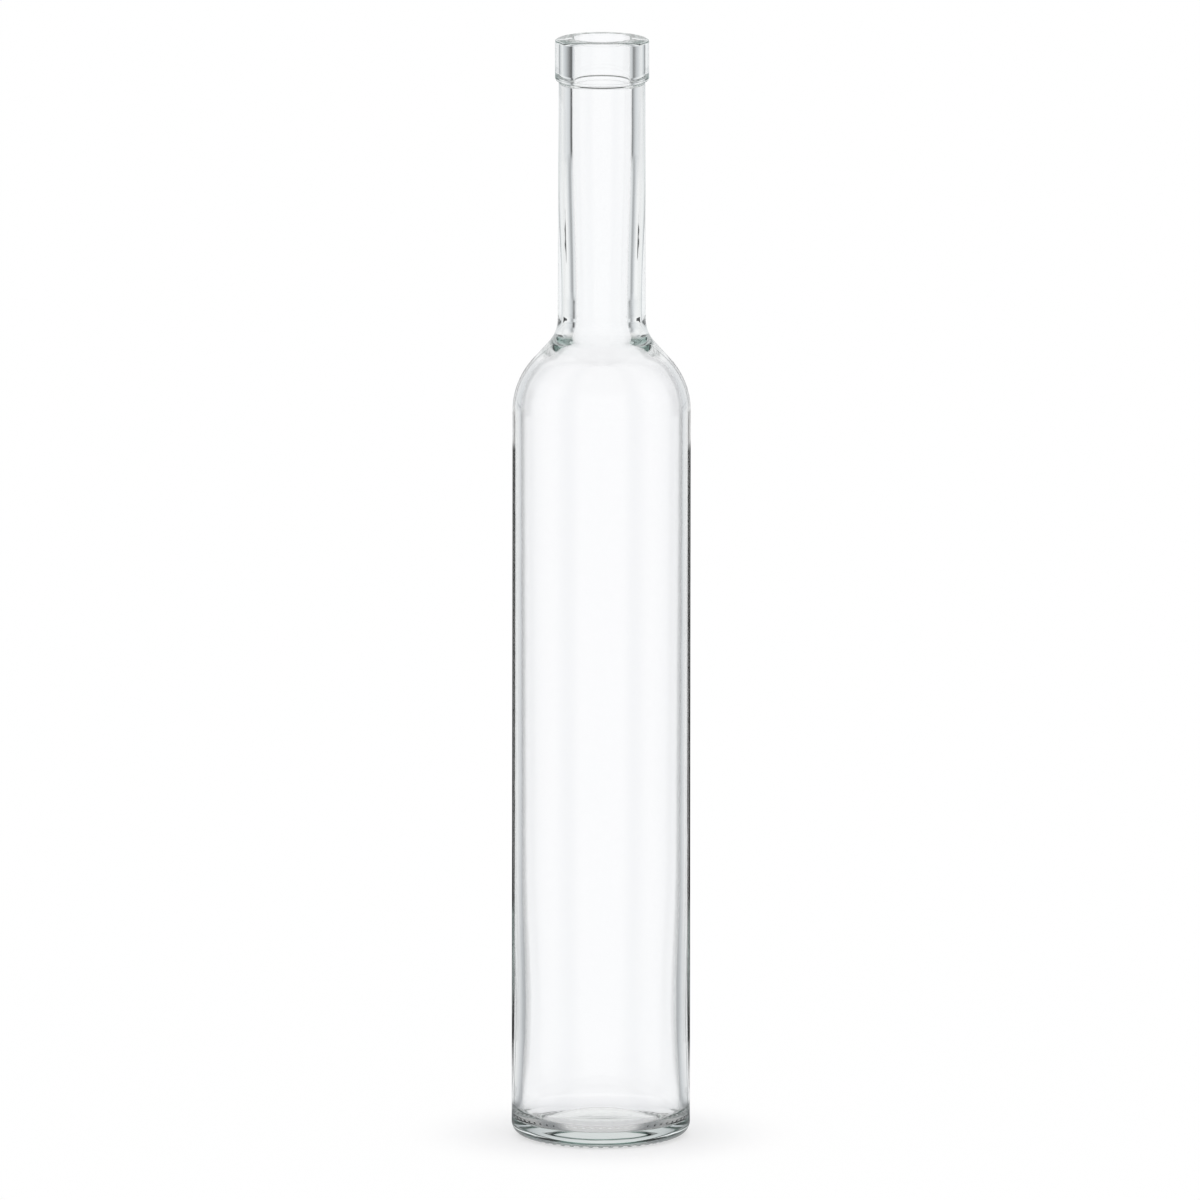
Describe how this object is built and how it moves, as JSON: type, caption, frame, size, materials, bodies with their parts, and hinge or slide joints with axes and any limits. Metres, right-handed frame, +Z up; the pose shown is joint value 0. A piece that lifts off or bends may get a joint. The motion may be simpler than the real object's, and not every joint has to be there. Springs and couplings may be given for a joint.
{
  "type": "wine bottle",
  "caption": "Slim clear glass wine bottle with a straight round body, short shoulder, long neck, cork ring and knurled base, empty and open at the mouth.",
  "frame": {"origin": "centre of the knurled ring that the bottle stands on", "axes": "+Z up along the bottle's axis, from the base to the mouth; X and Y are alike"},
  "size_m": [0.0572, 0.0572, 0.355],
  "materials": {
    "clear_glass": "clear colourless container glass, fire-polished and glossy, with a faint grey-green tint where it is thick"
  },
  "bodies": {
    "root": {"bottle": "clear_glass"}
  },
  "joints": []
}
